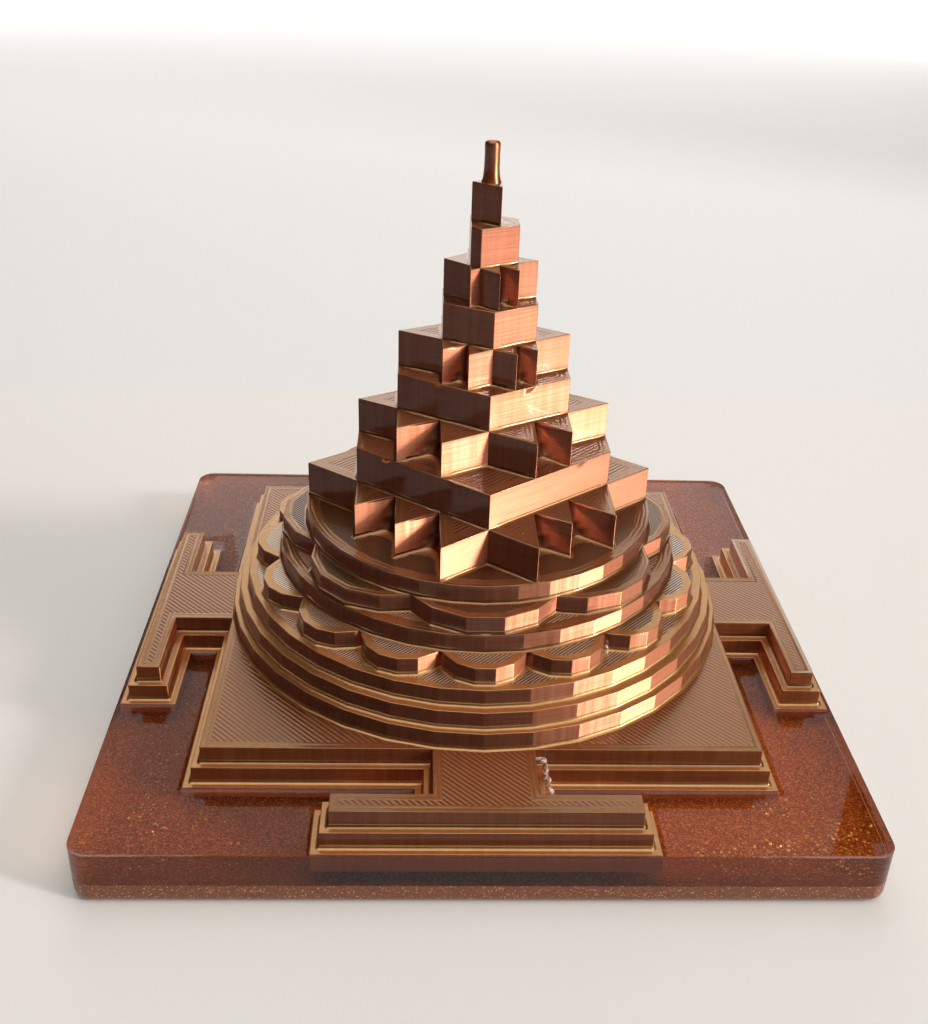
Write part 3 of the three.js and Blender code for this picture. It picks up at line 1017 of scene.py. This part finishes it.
# %% [markdown]
# ## Lumps of epoxy
# Where a little too much epoxy ran together it stands as glassy lumps: between two petals and
# down the corner of the front passage. They are small balls, squashed and roughened with noise.
# Their pale speckles are a painted highlight, the white glints on them.

# %% Lumps of epoxy
ROUGHENING, ROUGH_SCALE = 0.45, 1800  # how deeply the noise dents a lump, and how finely
LUMPS = [            # middle and half sizes, mm
    ((12.3, -18.4, 15.1), (0.3, 0.5, 0.45)), ((12.5, -17.9, 15.5), (0.22, 0.3, 0.5)),
    ((5.4, -28.4, 9.2), (0.5, 0.4, 0.3)), ((5.75, -28.7, 8.4), (0.35, 0.45, 0.75)),
    ((5.95, -29.2, 7.4), (0.45, 0.45, 0.55)), ((6.3, -29.7, 6.4), (0.4, 0.45, 0.75)),
    ((6.6, -30.0, 5.9), (0.7, 0.4, 0.25))]

# the pale speckles paint the glints of the lumps: painted highlight
lump_painted_glints = speckled("epoxy_lump", 2500, [(0.4, (0.35, 0.15, 0.07)), (0.6, (0.90, 0.78, 0.66))],
                      {"Roughness": 0.18, "Coat Weight": 1.0, "Coat Roughness": 0.03})
lumps = bmesh.new()
for middle, half in LUMPS:
    sizes = Matrix.Diagonal((*half, 1))
    made = bmesh.ops.create_icosphere(lumps, subdivisions=3, radius=1.0,
                                      matrix=Matrix.Scale(MM, 4) @ Matrix.Translation(middle) @ sizes)
    for v in made["verts"]:
        away = v.co - Vector(middle) * MM
        v.co += away * noise.noise(v.co * ROUGH_SCALE) * ROUGHENING
smooth(lumps)
epoxy_lumps = show(lumps, "epoxy_lumps", lump_painted_glints)
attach(epoxy_lumps, BODY)
print("epoxy lumps:", len(LUMPS))

# %% [markdown]
# ## Stage and light
# The floor is plain and pale, a shade warmer near the object than far behind it. A tall area lamp
# at the right front is the daylight of a window, and a pale world fills in the rest. The camera
# sees the floor a little brighter than it is, which leaves the light on the object alone.

# %% Floor
TONE_STARTS, TONE_ENDS = 0.0822, 0.0832  # where the floor's tone changes behind the object, m
LIFT = 0.10          # how much brighter the camera sees the floor than it is

paper, tree = new_material("pale_floor")
axes = add_node(tree, "ShaderNodeSeparateXYZ", {"Vector": object_place(tree)})
behind = add_node(tree, "ShaderNodeMapRange", {
    "Value": axes.outputs["Y"], "From Min": TONE_STARTS, "From Max": TONE_ENDS})
tone = blend_colours(tree, behind.outputs["Result"], (0.95, 0.93, 0.885, 1), (0.92, 0.92, 0.91, 1))
path = add_node(tree, "ShaderNodeLightPath")
principled(tree, {
    "Base Color": tone, "Roughness": 0.6, "Emission Color": (1.0, 0.98, 0.94, 1),
    "Emission Strength": maths(tree, "MULTIPLY", path.outputs["Is Camera Ray"], LIFT)})
shape = bmesh.new()
bmesh.ops.create_grid(shape, x_segments=1, y_segments=1, size=4.0)
floor = show(shape, "floor", paper)
print("floor", [round(side, 1) for side in floor.dimensions.xy], "m")

# %% Lamps and world
azimuth, elevation, distance = math.radians(68.5), math.radians(25), 3.0
window_data = bpy.data.lights.new("window_light", "AREA")
window_data.shape = "RECTANGLE"
window_data.size = 0.34
window_data.size_y = 0.70
window_data.energy = 38.0
window_data.color = (1.0, 0.97, 0.92)
window_light = bpy.data.objects.new("window_light", window_data)
bpy.context.scene.collection.objects.link(window_light)
along_floor = Vector((math.sin(azimuth), -math.cos(azimuth), 0)) * math.cos(elevation)
towards_window = along_floor + Vector((0, 0, math.sin(elevation)))
window_light.location = towards_window * distance
window_light.rotation_euler = towards_window.to_track_quat("Z", "Y").to_euler()
world = bpy.data.worlds.new("pale_world")
bpy.context.scene.world = world
world.use_nodes = True
world.node_tree.nodes["Background"].inputs["Color"].default_value = (1.0, 0.985, 0.965, 1)
world.node_tree.nodes["Background"].inputs["Strength"].default_value = 1.24
bpy.context.scene.view_settings.view_transform = "Standard"
print("window light from", [round(c, 2) for c in towards_window])

# %% [markdown]
# A shiny print in a pale world mirrors it and looks washed out. A photographer sets up dark boards
# out of the picture, so that the walls mirror those. Each board here is a strip of a big cylinder
# round the object, dark brown in front and lighter at the right. A pale grey gauze that lets some
# light through hangs high at the back, because the level faces mirror that place.

# %% Dark boards
BOARD_DISTANCE, BOARD_HEIGHT = 0.6, 1.05  # m


def dark_board(name, first, sweep, colour, low=0.001, dense=1.0):
    """A board that starts at an angle right of the front and sweeps clockwise, seen from above."""
    shape = bmesh.new()
    ends = [Vector((0, -BOARD_DISTANCE, low)), Vector((0, -BOARD_DISTANCE, BOARD_HEIGHT))]
    edge = shape.edges.new([shape.verts.new(end) for end in ends])
    bmesh.ops.rotate(shape, verts=shape.verts[:], cent=(0, 0, 0),
                     matrix=Matrix.Rotation(math.radians(first), 3, "Z"))
    bmesh.ops.spin(shape, geom=[*edge.verts, edge], cent=(0, 0, 0), axis=(0, 0, -1),
                   angle=math.radians(sweep), steps=40, use_merge=False)
    felt, tree = new_material(name + "_felt")
    principled(tree, {"Base Color": (*colour, 1), "Roughness": 0.9, "Alpha": dense})
    board = show(shape, name, felt)
    board.visible_camera = False
    print(name, "from", first, "degrees over", sweep)


dark_board("front_board", 45, 195, (0.034, 0.0085, 0.0035))
dark_board("right_board", 150, 58, (0.20, 0.075, 0.035))
dark_board("high_back_gauze", 210, 60, (0.62, 0.56, 0.50), low=0.33, dense=0.6)
